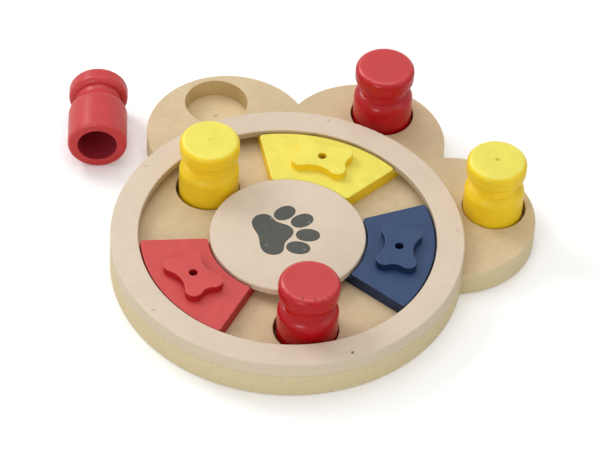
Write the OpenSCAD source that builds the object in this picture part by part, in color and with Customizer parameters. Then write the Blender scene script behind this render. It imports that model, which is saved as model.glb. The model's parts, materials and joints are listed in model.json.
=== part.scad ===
// Dog puzzle feeder: a paw-shaped wooden board with treat wells, three sliders that run in a
// round track, and five turned pegs that stand in the wells and hide treats in their hollow feet.
// The origin is on the axis of the round track, at the board's underside. +Y points to the
// middle toe and +Z is up. All sizes are in millimetres, all angles in degrees from +X.

/* [Base board] */
// Radius of the board's round body
board_r = 120; // [110:1:150]
// Thickness of the board
board_t = 18.5; // [14:0.5:25]
// How far the toes' centres lie inside the edge of the round body
toe_inset = 2; // [0:0.5:10]
// Angle between neighbouring toes
toe_pitch = 47; // [44:0.5:52]
// Wood between a toe's well and the toe's outer edge
toe_rim = 4.7; // [3:0.1:10]
// Rounding of the board's free edges
board_round = 1.2; // [0.5:0.1:2]
// Easing of the glued edges, which shows as a fine seam
seam_ease = 0.3; // [0.1:0.05:0.5]

/* [Treat wells] */
// Radius of every treat well
well_r = 22; // [18:0.5:26]
// Wood left under the wells
well_floor = 4.5; // [3:0.5:6]
// Rounding of the wells' rims
well_ease = 0.6; // [0.2:0.1:1.5]
// Wood between the track ring and the toes' wells
toe_well_gap = 6.5; // [4:0.5:10]
// Angle between neighbouring toe wells
toe_well_pitch = 46.4; // [44:0.2:50]
// Number of wells in the track
track_wells = 5; // [5:1:6]
// Angle of the first well in the track
track_well_angle = 18; // [0:1:72]

/* [Ring and disc] */
// Width of the ring, seen from above
ring_w = 18.9; // [16:0.1:22]
// Thickness of the ring and the disc
rim_t = 11.4; // [10:0.1:16]
// Thickness of the lips that hold the sliders down
lip_t = 4.8; // [4:0.1:6]
// How far the lips reach over the sliders' flanges
lip_w = 7.9; // [6:0.1:9]
// Floor left between the lips and the wells in the track
track_side = 2.1; // [1.5:0.1:6]
// Rounding of the ring's and the disc's top edges
rim_round = 1; // [0.3:0.1:1.5]

/* [Sliders] */
// Angle that each slider covers
slider_span = 59; // [45:0.5:62]
// How far the sliders' tops lie below the top of the ring
slider_drop = 1.7; // [1:0.1:3]
// Gap between a slider's raised middle and the lips
slider_gap = 1.3; // [0.5:0.1:2]
// Gap between the flanges and the walls of the grooves
flange_gap = 2; // [1:0.1:3]
// Play of the flanges under the lips
flange_play = 1.1; // [0.5:0.1:1.5]
// Running gap under the sliders and the standing pegs
glide = 0.1; // [0.05:0.01:0.2]
// Rounding of the sliders' corners, seen from above
slider_corner = 2; // [1:0.1:3]
// Rounding of the sliders' top edges
slider_round = 0.8; // [0.3:0.1:1]
// Radius of the scent hole through each slider and its knob
scent_r = 3; // [2:0.1:4]
// Angle of the yellow slider's middle
yellow_slider_angle = 98.6; // [97:0.1:99]
// Angle of the blue slider's middle
blue_slider_angle = 17.1; // [15:0.1:19]
// Angle of the red slider's middle
red_slider_angle = 240.5; // [230:0.1:242]

/* [Bone knobs] */
// Length of a bone knob along the track
bone_len = 38.8; // [34:0.1:44]
// Width of a bone knob across the track
bone_w = 27.8; // [25:0.1:33]
// Width of the bone's waist
bone_waist = 19.6; // [16:0.1:21]
// Length of the bone between its end notches
bone_core = 34.4; // [30:0.1:35]
// Radius of the bone's four lobes
lobe_r = 6; // [5.5:0.1:7]
// Thickness of a bone knob
bone_t = 6; // [4:0.1:9]
// Rounding of the bone's top edge
bone_round = 0.8; // [0.3:0.1:1.5]
// How far the knobs and scent holes lie inside the middle line of the track
bone_inset = 1; // [0:0.1:3]

/* [Pegs] */
// Gap around a peg in its well
peg_gap = 1.4; // [1:0.1:2]
// Height of a peg
peg_h = 59; // [55:1:75]
// Height of the body up to the neck
body_h = 37; // [35:0.5:40]
// Height of the rounded shoulder
shoulder_h = 7; // [5:0.5:9]
// Height of the head
head_h = 14; // [10:0.5:15]
// How far the neck is turned down from the body
neck_cut = 5.1; // [4:0.1:5.5]
// Depth of the hollow curve along the neck
neck_curve = 0.8; // [0.3:0.1:1.2]
// Rounding of the head's top edge
head_round = 4.3; // [1:0.1:5]
// Rounding of the foot
foot_round = 2; // [0.5:0.1:2.5]
// Wall around the hollow in a peg
peg_wall = 6.4; // [6:0.1:7]
// Depth of the hollow in a peg
hollow_depth = 32; // [20:1:33]
// Easing of the hollow's mouth
hollow_ease = 0.8; // [0.3:0.1:1.5]
// Radius of the lathe's centre mark on a yellow peg's head
mark_r = 1.2; // [0.5:0.1:2]
// Least gap between a standing peg and the wall of its well
peg_clear = 0.4; // [0.1:0.1:0.9]
// Gap between the left toe and the peg that lies beside the board
loose_gap = 14.7; // [5:0.1:60]
// Direction from the left toe to the lying peg
loose_side = 200.8; // [180:0.1:230]
// Direction in which the lying peg's head points
loose_turn = 117.9; // [90:0.1:140]

/* [Brads] */
// Radius of a brad's shank
brad_r = 0.7; // [0.5:0.05:1]
// Radius of a brad's head
brad_head_r = 1.1; // [1.1:0.05:1.5]
// Thickness of a brad's head
brad_head_t = 0.8; // [0.5:0.1:1.2]
// How far a brad goes into the board
brad_bite = 8; // [5:0.5:10]
// Distance of the ring's brads from the ring's outer edge
brad_edge = 4.6; // [4:0.1:7]
// Angle of the ring's first brad
brad_angle = 30.3; // [0:0.1:72]
// Radius of the circle of the disc's brads
disc_brad_r = 18.3; // [10:0.1:30]
// Angle of the disc's first brad
disc_brad_angle = 64.8; // [0:0.1:90]

/* [Hidden] */
$fn = 96;
cut = 1;            // how far cutting shapes reach past the wood
arc_bite = 0.01;    // how far a rounding's arc reaches past the faces that it joins
middle_toe = 90;    // direction of the middle toe

// Colours
board_fibre = [0.82, 0.70, 0.52];
rim_fibre = [0.88, 0.81, 0.72];
brad_steel = [0.62, 0.58, 0.52];
yellow_paint = [0.95, 0.83, 0.25];
blue_paint = [0.20, 0.28, 0.45];
red_paint = [0.80, 0.17, 0.18];

// Board and wells
toe_d = board_r - toe_inset;
toe_well_d = board_r + toe_well_gap + well_r;
toe_r = toe_well_d + well_r + toe_rim - toe_d;
well_depth = board_t - well_floor;
bit_mark_r = 1.8;        // radius of the mark that the bit's point leaves in a well's floor
bit_mark_depth = 1.2;
mark_tip_r = 0.3;    // blunt tip of the marks that bits and centres leave
left_toe = middle_toe + toe_pitch;

// Ring, disc and the track between them
ring_in_r = board_r - ring_w;
groove_r = ring_in_r + lip_w;
groove_t = rim_t - lip_t;
track_r = ring_in_r - track_side - well_r;
disc_r = track_r - well_r - track_side;
hub_r = disc_r - lip_w;
rim_top = board_t + rim_t;
well_step = 360 / track_wells;

// Sliders and knobs
flange_t = groove_t - glide - flange_play;
slider_z = board_t + glide;
slider_t = rim_t - glide - slider_drop;
corner_bite = 0.05;   // how far a corner's round reaches past the edges that it joins
bone_r = track_r - bone_inset;
lobe_x = bone_len / 2 - lobe_r;
lobe_y = bone_w / 2 - lobe_r;
hollow_bite = 0.1;    // how far the hollows of a bone cut into its lobes

// Pegs
peg_r = well_r - peg_gap;
peg_z = well_floor + glide;
neck_r = peg_r - neck_cut;
neck_h = peg_h - head_h - body_h;
neck_ledge = 0.1;   // flat left beside the neck's curve
neck_side = neck_cut - neck_curve - neck_ledge;
hollow_r = peg_r - peg_wall;
mark_depth = mark_r;
peg_play = peg_gap - peg_clear;
yellow_peg_well = 2;   // well of the track that the yellow peg stands in
red_peg_well = 4;      // well of the track that the red peg stands in
// Where each standing peg sits off the middle of its well: direction and share of the play
yellow_track_shift = [80.6, 1];
red_track_shift = [61.2, 0.9];
red_toe_shift = [114.3, 0.4];
yellow_toe_shift = [230.9, 1];

// Brads
brad_len = rim_t + brad_bite;
ring_brads = 5;
disc_brads = 4;

// Radius of an arc that rises by sag over half its chord
function arc_r(half_chord, sag) = (half_chord * half_chord + sag * sag) / (2 * sag);

// Radius of the hollow between two lobes that lie half_gap from its middle line, where the
// hollow's deepest point is deep beyond the line through the lobes' centres
function hollow_between(half_gap, deep) =
    (half_gap * half_gap + deep * deep - lobe_r * lobe_r) / (2 * (lobe_r - deep));

// ---- Turned and routed profiles ----

// What a rounding bit takes off the corner at the origin of a profile that lies towards
// side_x and side_y (each 1 or -1). Its arc crosses the faces at a very flat angle. A radius
// of 0 leaves the corner sharp.
module corner_cut(radius, side_x, side_y) {
    arc_at = radius - arc_bite;
    if (radius > 0)
        difference() {
            square(2 * arc_at, center = true);
            translate([side_x * arc_at, side_y * arc_at])
                circle(radius);
        }
}

// Flat round plate with a rounded top edge, and a rounded bottom edge where bottom_round > 0
module round_plate(radius, height, top_round, bottom_round) {
    rotate_extrude()
        difference() {
            square([radius, height]);
            translate([radius, height])
                corner_cut(top_round, -1, -1);
            translate([radius, 0])
                corner_cut(bottom_round, -1, 1);
        }
}

// Flat ring with rounded top edges
module ring_plate(inner_r, outer_r, height, top_round) {
    rotate_extrude()
        difference() {
            translate([inner_r, 0])
                square([outer_r - inner_r, height]);
            translate([inner_r, height])
                corner_cut(top_round, 1, -1);
            translate([outer_r, height])
                corner_cut(top_round, -1, -1);
        }
}

// ---- Base board ----

// One treat well, with its floor at the origin: a flat-bottomed bore with the bit's centre
// mark in the floor and a rounded rim
module well_bore() {
    cylinder(r = well_r, h = well_depth + cut);
    translate([0, 0, -bit_mark_depth])
        cylinder(r1 = mark_tip_r, r2 = bit_mark_r, h = bit_mark_depth);
    rotate_extrude()
        translate([well_r, well_depth])
            corner_cut(well_ease, 1, -1);
}

// Places its children on the floor of each toe well
module at_toe_wells() {
    for (side = [-1, 0, 1])
        rotate(middle_toe + side * toe_well_pitch)
            translate([toe_well_d, 0, well_floor])
                children();
}

// Places its children on the floor of each well in the track
module at_track_wells() {
    for (i = [0 : track_wells - 1])
        rotate(track_well_angle + i * well_step)
            translate([track_r, 0, well_floor])
                children();
}

module base_board() {
    color(board_fibre)
        difference() {
            union() {
                round_plate(board_r, board_t, seam_ease, board_round);
                for (side = [-1, 0, 1])
                    rotate(middle_toe + side * toe_pitch)
                        translate([toe_d, 0, 0])
                            round_plate(toe_r, board_t, board_round, board_round);
            }
            at_toe_wells() well_bore();
            at_track_wells() well_bore();
            at_ring_brads() brad();
            at_disc_brads() brad();
        }
}

// ---- Ring and disc, rabbeted underneath for the sliders' flanges ----

module track_ring() {
    color(rim_fibre)
        difference() {
            translate([0, 0, board_t])
                rotate_extrude()
                    difference() {
                        translate([ring_in_r, 0])
                            square([ring_w, rim_t]);
                        translate([ring_in_r - cut, -cut])
                            square([lip_w + cut, groove_t + cut]);
                        translate([ring_in_r, rim_t])
                            corner_cut(rim_round, 1, -1);
                        translate([board_r, rim_t])
                            corner_cut(rim_round, -1, -1);
                        translate([board_r, 0])
                            corner_cut(seam_ease, -1, 1);
                    }
            at_ring_brads() brad();
        }
}

module centre_disc() {
    color(rim_fibre)
        difference() {
            translate([0, 0, board_t])
                rotate_extrude()
                    difference() {
                        square([disc_r, rim_t]);
                        translate([hub_r, -cut])
                            square([lip_w + cut, groove_t + cut]);
                        translate([disc_r, rim_t])
                            corner_cut(rim_round, -1, -1);
                    }
            at_disc_brads() brad();
        }
}

// ---- Brads ----

// A brad driven down from the origin, its head flush
module brad() {
    translate([0, 0, -brad_len])
        cylinder(r = brad_r, h = brad_len);
    translate([0, 0, -brad_head_t])
        cylinder(r = brad_head_r, h = brad_head_t);
}

module at_ring_brads() {
    for (i = [0 : ring_brads - 1])
        rotate(brad_angle + i * 360 / ring_brads)
            translate([board_r - brad_edge, 0, rim_top])
                children();
}

module at_disc_brads() {
    for (i = [0 : disc_brads - 1])
        rotate(disc_brad_angle + i * 360 / disc_brads)
            translate([disc_brad_r, 0, rim_top])
                children();
}

module ring_pins() {
    color(brad_steel)
        at_ring_brads() brad();
}

module disc_pins() {
    color(brad_steel)
        at_disc_brads() brad();
}

// ---- Sliders ----

// Everything on one side of a slider's end, with the end's top edge rounded. turn is the
// direction of the end, and side is 1 where the slider lies anticlockwise of it.
module end_side(turn, side, height, top_round) {
    reach = 2 * board_r;
    rotate([90, 0, turn + 90])
        linear_extrude(2 * reach, center = true)
            difference() {
                translate([side > 0 ? 0 : -reach, 0])
                    square([reach, height]);
                translate([0, height])
                    corner_cut(top_round, side, -1);
            }
}

// What is taken off the plan corner of a slider plate, which leaves it round. edge_r is the
// radius of the edge, end is the side of the plate's end, and rim is 1 at the outer edge and -1
// at the inner one. The rounding meets the edges at a very flat angle.
module plate_corner_cut(edge_r, end, rim, height, top_round) {
    inset = slider_corner - corner_bite;
    centre_r = edge_r - rim * inset;
    lean = asin(inset / centre_r);
    over = 2 * slider_corner;
    to_rim = [rim * over, 0];
    to_end = [-over * sin(lean), end * over * cos(lean)];
    rotate(end * (slider_span / 2 - lean))
        translate([centre_r, 0, 0])
            difference() {
                translate([0, 0, -cut])
                    linear_extrude(height + 2 * cut)
                        polygon([[0, 0], to_rim, to_rim + to_end, to_end]);
                rotate_extrude()
                    difference() {
                        translate([0, -2 * cut])
                            square([slider_corner, height + 4 * cut]);
                        translate([slider_corner, height])
                            corner_cut(top_round, -1, -1);
                    }
            }
}

// Sector of a flat ring about +X, with rounded corners and rounded top edges
module sector_plate(inner_r, outer_r, height, top_round) {
    difference() {
        intersection() {
            ring_plate(inner_r, outer_r, height, top_round);
            end_side(-slider_span / 2, 1, height, top_round);
            end_side(slider_span / 2, -1, height, top_round);
            translate([0, -board_r, 0])
                cube([board_r, 2 * board_r, height]);
        }
        for (end = [-1, 1]) {
            plate_corner_cut(outer_r, end, 1, height, top_round);
            plate_corner_cut(inner_r, end, -1, height, top_round);
        }
    }
}

// Routed slider about +X, its underside at z = 0: a flange that runs under both lips and a
// raised middle between them
module slider_body() {
    difference() {
        union() {
            sector_plate(hub_r + flange_gap, groove_r - flange_gap, flange_t, 0);
            sector_plate(disc_r + slider_gap, ring_in_r - slider_gap, slider_t, slider_round);
        }
        translate([bone_r, 0, -cut])
            cylinder(r = scent_r, h = slider_t + 2 * cut);
    }
}

// ---- Bone knobs ----

// Round cutter with a flared top, which leaves a rounded edge on what it cuts
module flared_cutter(radius) {
    translate([0, 0, -cut])
        cylinder(r = radius, h = bone_t + 2 * cut);
    rotate_extrude()
        translate([radius, bone_t])
            corner_cut(bone_round, 1, -1);
}

// Flat bone along Y on the origin: four round lobes on a core, with a hollow worked into each
// side. The hollows bite a little into the lobes.
module bone() {
    side_hollow = hollow_between(lobe_x, bone_waist / 2 - lobe_y);
    end_hollow = hollow_between(lobe_y, bone_core / 2 - lobe_x);
    side_d = bone_waist / 2 + side_hollow;
    end_d = bone_core / 2 + end_hollow;
    lobe = [lobe_x, lobe_y];
    // Corners of the core, inside the lobes and next to the hollows
    core_r = lobe_r - bone_round / 2;
    side_corner = lobe + core_r * [-lobe_x, side_d - lobe_y] / (side_hollow + lobe_r);
    end_corner = lobe + core_r * [end_d - lobe_x, -lobe_y] / (end_hollow + lobe_r);
    rotate(90)
        difference() {
            union() {
                linear_extrude(bone_t)
                    for (mx = [0, 1], my = [0, 1])
                        mirror([mx, 0])
                            mirror([0, my])
                                polygon([[0, 0], [0, side_corner[1]], side_corner,
                                         lobe, end_corner, [end_corner[0], 0]]);
                for (x = [-lobe_x, lobe_x], y = [-lobe_y, lobe_y])
                    translate([x, y, 0])
                        round_plate(lobe_r, bone_t, bone_round, 0);
            }
            for (side = [-1, 1]) {
                translate([0, side * side_d, 0])
                    flared_cutter(side_hollow + hollow_bite);
                translate([side * end_d, 0, 0])
                    flared_cutter(end_hollow + hollow_bite);
            }
            translate([0, 0, -cut])
                cylinder(r = scent_r, h = bone_t + 2 * cut);
        }
}

module place_slider(angle) {
    translate([0, 0, slider_z])
        rotate(angle)
            slider_body();
}

module place_knob(angle) {
    rotate(angle)
        translate([bone_r, 0, slider_z + slider_t])
            bone();
}

module yellow_slider() {
    color(yellow_paint) place_slider(yellow_slider_angle);
}

module yellow_bone_knob() {
    color(yellow_paint) place_knob(yellow_slider_angle);
}

module blue_slider() {
    color(blue_paint) place_slider(blue_slider_angle);
}

module blue_bone_knob() {
    color(blue_paint) place_knob(blue_slider_angle);
}

module red_slider() {
    color(red_paint) place_slider(red_slider_angle);
}

module red_bone_knob() {
    color(red_paint) place_knob(red_slider_angle);
}

// ---- Pegs ----

// Half section of a peg: hollow foot, body with a rounded shoulder, curved neck and head
module peg_section(marked) {
    shoulder_arc = arc_r(shoulder_h, neck_side);
    neck_arc = arc_r(neck_h / 2, neck_curve);
    difference() {
        square([peg_r, peg_h]);
        // shoulder
        translate([peg_r - shoulder_arc, body_h - shoulder_h])
            difference() {
                square([shoulder_arc + cut, shoulder_h]);
                circle(shoulder_arc);
            }
        // neck
        intersection() {
            translate([0, body_h])
                square([peg_r + cut, neck_h]);
            translate([neck_r + neck_arc, body_h + neck_h / 2])
                circle(neck_arc);
        }
        // head and foot
        translate([peg_r, peg_h - head_h])
            corner_cut(neck_side, -1, 1);
        translate([peg_r, peg_h])
            corner_cut(head_round, -1, -1);
        translate([peg_r, 0])
            corner_cut(foot_round, -1, 1);
        // hollow
        translate([0, -cut])
            square([hollow_r, hollow_depth + cut]);
        translate([hollow_r, 0])
            corner_cut(hollow_ease, 1, 1);
        // centre mark of the lathe
        if (marked)
            translate([0, peg_h - mark_depth])
                polygon([[0, 0], [mark_tip_r, 0], [mark_r, mark_depth], [0, mark_depth]]);
    }
}

module peg(marked) {
    rotate_extrude()
        peg_section(marked);
}

// Peg in the well at the given distance and direction from the track's axis. shift is where it
// sits off the well's middle.
module standing_peg(well_d, well_angle, shift, marked) {
    rotate(well_angle)
        translate([well_d, 0, peg_z])
            rotate(shift[0] - well_angle)
                translate([shift[1] * peg_play, 0, 0])
                    peg(marked);
}

module track_peg_yellow() {
    color(yellow_paint)
        standing_peg(track_r, track_well_angle + yellow_peg_well * well_step,
                     yellow_track_shift, true);
}

module track_peg_red() {
    color(red_paint)
        standing_peg(track_r, track_well_angle + red_peg_well * well_step,
                     red_track_shift, false);
}

module toe_peg_red() {
    color(red_paint)
        standing_peg(toe_well_d, middle_toe, red_toe_shift, false);
}

module toe_peg_yellow() {
    color(yellow_paint)
        standing_peg(toe_well_d, middle_toe - toe_well_pitch, yellow_toe_shift, true);
}

// The peg that is out of its well lies on its side beside the left toe
module loose_peg_red() {
    color(red_paint)
        rotate(left_toe)
            translate([toe_d, 0, 0])
                rotate(loose_side - left_toe)
                    translate([toe_r + loose_gap + peg_r, 0, peg_r])
                        rotate([0, 90, loose_turn - loose_side])
                            translate([0, 0, -peg_h / 2])
                                peg(false);
}

base_board();
track_ring();
centre_disc();
ring_pins();
disc_pins();
yellow_slider();
yellow_bone_knob();
blue_slider();
blue_bone_knob();
red_slider();
red_bone_knob();
track_peg_yellow();
track_peg_red();
toe_peg_red();
toe_peg_yellow();
loose_peg_red();
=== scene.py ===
"""Wooden treat puzzle for dogs: its turned pegs, sawn sliders and bones, brads, printed paw,
finishes and studio stage, built round the packed model."""

import json
import math

import bmesh
import bpy
from bpy.props import FloatProperty, FloatVectorProperty, PointerProperty
from mathutils import Matrix, Vector


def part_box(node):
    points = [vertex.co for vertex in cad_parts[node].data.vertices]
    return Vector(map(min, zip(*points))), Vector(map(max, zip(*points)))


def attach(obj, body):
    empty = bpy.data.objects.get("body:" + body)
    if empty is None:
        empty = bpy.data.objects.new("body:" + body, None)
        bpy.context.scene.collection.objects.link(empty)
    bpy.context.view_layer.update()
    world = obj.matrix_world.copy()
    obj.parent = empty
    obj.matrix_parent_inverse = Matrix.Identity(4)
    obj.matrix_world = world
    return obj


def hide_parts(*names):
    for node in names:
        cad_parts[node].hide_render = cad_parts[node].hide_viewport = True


bl_info = {
    "name": "Wooden Treat Puzzle",
    "version": (1, 0, 0),
    "blender": (4, 5, 0),
    "location": "3D View > Sidebar > Treat Puzzle",
    "description": "Builds a wooden treat puzzle for dogs, and its stage",
    "category": "Object",
}

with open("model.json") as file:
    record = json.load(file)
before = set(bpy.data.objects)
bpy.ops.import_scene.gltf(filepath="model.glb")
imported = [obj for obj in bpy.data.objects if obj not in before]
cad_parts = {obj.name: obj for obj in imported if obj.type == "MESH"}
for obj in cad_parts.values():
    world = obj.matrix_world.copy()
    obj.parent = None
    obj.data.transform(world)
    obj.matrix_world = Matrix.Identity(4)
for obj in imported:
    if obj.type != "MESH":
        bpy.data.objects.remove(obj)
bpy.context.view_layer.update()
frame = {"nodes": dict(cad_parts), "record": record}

MM = 0.001
TAU = math.tau
OWN_PLACE = "own_place"    # where a point lies on the piece before the piece is put in its place
WEAR = "wear"              # 1 on rounded edges, where the finish is thin and paler, partly as a painted highlight, and 0 elsewhere
PIT = "pit"                # how dark dents and holes are, from 0 to 1; in the scent holes this is painted shade


# ---- Sizes that the packed model gives ----

def middle_of(node):
    """Middle of a CAD node's box."""
    low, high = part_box(node)
    return (low + high) / 2


def size_of(node):
    """Lengths of a CAD node's box."""
    low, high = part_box(node)
    return high - low


RIM_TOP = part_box("track_ring")[1].z
PEG_HEIGHT = size_of("toe_peg_red").z
PEG_RADIUS = size_of("toe_peg_red").x / 2
SLIDER_HEIGHT = size_of("red_slider").z
BONE_HEIGHT = size_of("red_bone_knob").z

# Routed walls, whose finish differs from that of the sawn edges: their darker colour is painted shade
WELL_RADIUS = 22 * MM
TRACK_WELLS = 5
TRACK_WELLS_AT = 77 * MM    # their distance from the track's axis
RING_INNER = 101.1 * MM     # radius of the ring's inner wall
WALL_MARGIN = 0.2 * MM
WALL_BAND = 5 * MM          # how far in from the ring's wall its finish, darker as painted shade, reaches

# Each slide's colour, and how rough its paint is
SLIDES = {"yellow": 0.45, "blue": 0.46, "red": 0.44}

# CAD node of each peg: the body it rides on, its paint and the turn of its grain about its axis
PEGS = {
    "track_peg_yellow": ("yellow_track_peg", "yellow", 0.4),
    "track_peg_red": ("red_track_peg", "red", 0.0),
    "toe_peg_red": ("red_toe_peg", "red", 2.1),
    "toe_peg_yellow": ("yellow_toe_peg", "yellow", 4.0),
    "loose_peg_red": ("loose_peg", "red", 1.3),
}

LYING_PEG = "loose_peg_red"

# Dents in a peg's head, in millimetres: X and Y from its axis, radius and depth; then how dark it is
DENTS = {
    "track_peg_yellow": [(0, 0, 0.7, 0.1, 0.35), (2.4, 0.5, 0.6, 0.06, 0.2), (3.6, -2.2, 0.5, 0.05, 0.1)],
    "toe_peg_yellow": [(0, 0, 0.8, 0.3, 0.9), (-1.4, -0.5, 0.8, 0.12, 0.3), (1.3, 0.7, 0.8, 0.12, 0.3),
                       (3, -4, 0.8, 0.1, 0.2)],
    "track_peg_red": [(3, -16.7, 1.3, 0.16, 0.6), (11, -13.2, 1.3, 0.16, 0.6), (8.6, -17.6, 1.5, 0.16, 0.6),
                      (15.7, -11.8, 1.2, 0.14, 0.6), (16.8, -6.5, 0.9, 0.1, 0.4)],
}
HOLE_SHADE = 0.5            # how dark the scent holes are: painted shade
HOLE_EASE = 0.3 * MM        # rounding of their rims
FLANGE_EASE = 0.25 * MM     # rounding of the sliders' flanges
INK_EASE = 0.08 * MM        # a thin band round the ink's darker rim
PEG_STOPS = 3.5 * MM        # longest run between two rings of vertices on a peg
WORN_BAND = 1.6 * MM        # how far the wear of a peg's rounded edges, and its painted highlight, reaches

# Size of each square lamp and where it hangs, in metres
LAMPS = {
    "key": (1.1, (-0.25, 0.4, 1.55)),
    "left": (0.7, (-1.3, 0.3, 1.1)),
    "front": (0.6, (0.0, -1.4, 0.55)),
    "right": (0.9, (1.3, 0.1, 0.6)),
}
FLOOR_SIZE = 3.4
FLOOR_DROP = 0.05 * MM      # keeps the floor clear of the board's underside
FLOOR_LIT_TO = 0.4          # from this far the lamps' light on the floor falls off
FLOOR_FAR = 1.0
SENSOR_WIDTH = 36           # in millimetres, as the lens
CLIP_END = 20
WHITE = (1, 1, 1, 1)


# ---- Sizes and colours that a user would change ----

def length(name, millimetres, description):
    """A property that holds a length."""
    return FloatProperty(name=name, description=description, default=millimetres * MM, unit="LENGTH",
                         precision=4)


def angle(name, degrees, description):
    """A property that holds an angle."""
    return FloatProperty(name=name, description=description, default=math.radians(degrees), unit="ROTATION")


def number(name, default, description):
    """A property that holds a plain number."""
    return FloatProperty(name=name, description=description, default=default)


def tint(name, red, green, blue, description):
    """A property that holds a display colour, given as three numbers from 0 to 255."""
    return FloatVectorProperty(name=name, description=description, subtype="COLOR_GAMMA", size=3,
                               min=0, max=1, default=(red / 255, green / 255, blue / 255))


class PegShape(bpy.types.PropertyGroup):
    """Sizes of the turned pegs."""
    body: length("Body height", 37, "Height of the body up to the neck")
    shoulder: length("Shoulder height", 7, "Height of the rounded shoulder")
    head: length("Head height", 14, "Height of the head")
    neck_cut: length("Neck cut", 5.1, "How far the neck lies in from the body")
    neck_curve: length("Neck curve", 0.8, "Depth of the hollow curve along the neck")
    head_round: length("Head rounding", 4.3, "Rounding of the head's top edge")
    foot_round: length("Foot rounding", 2.6, "Rounding of the foot's edge")
    wall: length("Wall", 7.1, "Wall around the hollow")
    hollow: length("Hollow depth", 32, "Depth of the hollow in the foot")
    hollow_ease: length("Hollow easing", 0.8, "Rounding of the hollow's mouth")
    loose_turn: angle("Lying peg's turn", 117.9, "Direction in which the lying peg's head points")


class SliderShape(bpy.types.PropertyGroup):
    """Sizes of the three sliders."""
    span: angle("Span", 59, "Angle that a slider covers")
    flange_inner: length("Flange inner radius", 47, "Inner radius of the flange")
    flange_outer: length("Flange outer radius", 107, "Outer radius of the flange")
    flange: length("Flange thickness", 5.4, "Thickness of the flange")
    inner: length("Inner radius", 54.2, "Inner radius of the raised middle")
    outer: length("Outer radius", 99.8, "Outer radius of the raised middle")
    corner: length("Corner", 2, "Rounding of the corners from above")
    edge: length("Edge", 0.8, "Rounding of the top edges")
    scent: length("Scent hole", 3, "Radius of the scent hole")


class BoneShape(bpy.types.PropertyGroup):
    """Sizes of the bone knobs."""
    long: length("Length", 38.8, "Length of a bone")
    wide: length("Width", 27.8, "Width of a bone")
    waist: length("Waist", 19.6, "Width of the bone's waist")
    core: length("Core", 34.4, "Length between the notches in the bone's ends")
    lobe: length("Lobe", 6, "Radius of the four lobes")
    edge: length("Edge", 0.8, "Rounding of the top edge")


class PrintShape(bpy.types.PropertyGroup):
    """Sizes of the paw print on the disc. The paw points along its own X axis."""
    place_x: length("X", -7.5, "Where the paw's middle lies along X")
    place_y: length("Y", -3.2, "Where the paw's middle lies along Y")
    turn: angle("Turn", 42.4, "Direction in which the paw points")
    toe_long: length("Toe length", 16.3, "Length of a toe's oval")
    toe_wide: length("Toe width", 11.8, "Width of a toe's oval")
    inner_along: length("Inner toes along", 20.6, "How far ahead the inner toes lie")
    inner_aside: length("Inner toes aside", 7.1, "How far aside the inner toes lie")
    inner_lean: angle("Inner toes' lean", 16.6, "How far the inner toes turn outwards")
    outer_along: length("Outer toes along", 11, "How far ahead the outer toes lie")
    outer_aside: length("Outer toes aside", 16.9, "How far aside the outer toes lie")
    outer_lean: angle("Outer toes' lean", 24.7, "How far the outer toes turn outwards")
    thick: length("Ink", 0.06, "Thickness of the ink")
    rim: length("Ink rim", 0.8, "Width of the ink's darker rim")


class BradShape(bpy.types.PropertyGroup):
    """Sizes of the brads' heads."""
    head: length("Head", 1.0, "Radius of a brad's head")
    dimple: length("Dimple", 0.12, "Depth of the driver's mark in a head")
    proud: length("Proud", 0.09, "Height of the disc's heads above the ink")


class Colours(bpy.types.PropertyGroup):
    """Colours of the woods, the paints and the ink."""
    board: tint("Board face", 221, 198, 158, "Faces of the base board")
    board_edge: tint("Board edge", 230, 213, 168, "Sawn edges of the base board")
    # The colours of the walls cut by the router are darker than the faces and the sawn edges: painted shade
    # in the wells and on the ring's inner wall
    board_routed: tint("Board routed", 204, 180, 126, "Routed walls of the board's wells")
    rim: tint("Ring and disc", 224, 206, 184, "Faces of the ring and the disc")
    rim_edge: tint("Ring edge", 226, 208, 180, "Sawn edges of the ring and the disc")
    rim_routed: tint("Ring routed", 192, 173, 144, "Routed inner wall of the ring")
    # Each paint has a paler colour for level faces, which is a painted sheen from above, and a deeper colour
    # for upright faces, which is painted shade
    yellow: tint("Yellow", 244, 231, 96, "Yellow on level faces")
    yellow_side: tint("Yellow side", 254, 216, 34, "Yellow on upright faces")
    blue: tint("Blue", 46, 70, 108, "Blue on level faces")
    blue_side: tint("Blue side", 25, 46, 82, "Blue on upright faces")
    red: tint("Red", 210, 78, 74, "Red on the sliders' level faces")
    red_side: tint("Red side", 184, 28, 34, "Red on the sliders' upright faces")
    peg_red: tint("Peg red", 204, 62, 62, "Red on the pegs' level faces")
    peg_red_side: tint("Peg red side", 190, 12, 22, "Red on the pegs' upright faces")
    yellow_hollow: tint("Yellow hollow", 190, 138, 20, "Yellow paint in the pegs' hollows")
    red_hollow: tint("Red hollow", 172, 48, 62, "Red paint in the pegs' hollows")
    ink: tint("Ink", 72, 73, 67, "Ink of the paw")
    steel: tint("Ring brads", 212, 195, 172, "Brads in the ring, under lacquer")
    inked: tint("Disc brads", 124, 128, 124, "Brads in the disc, rubbed with ink")


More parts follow.
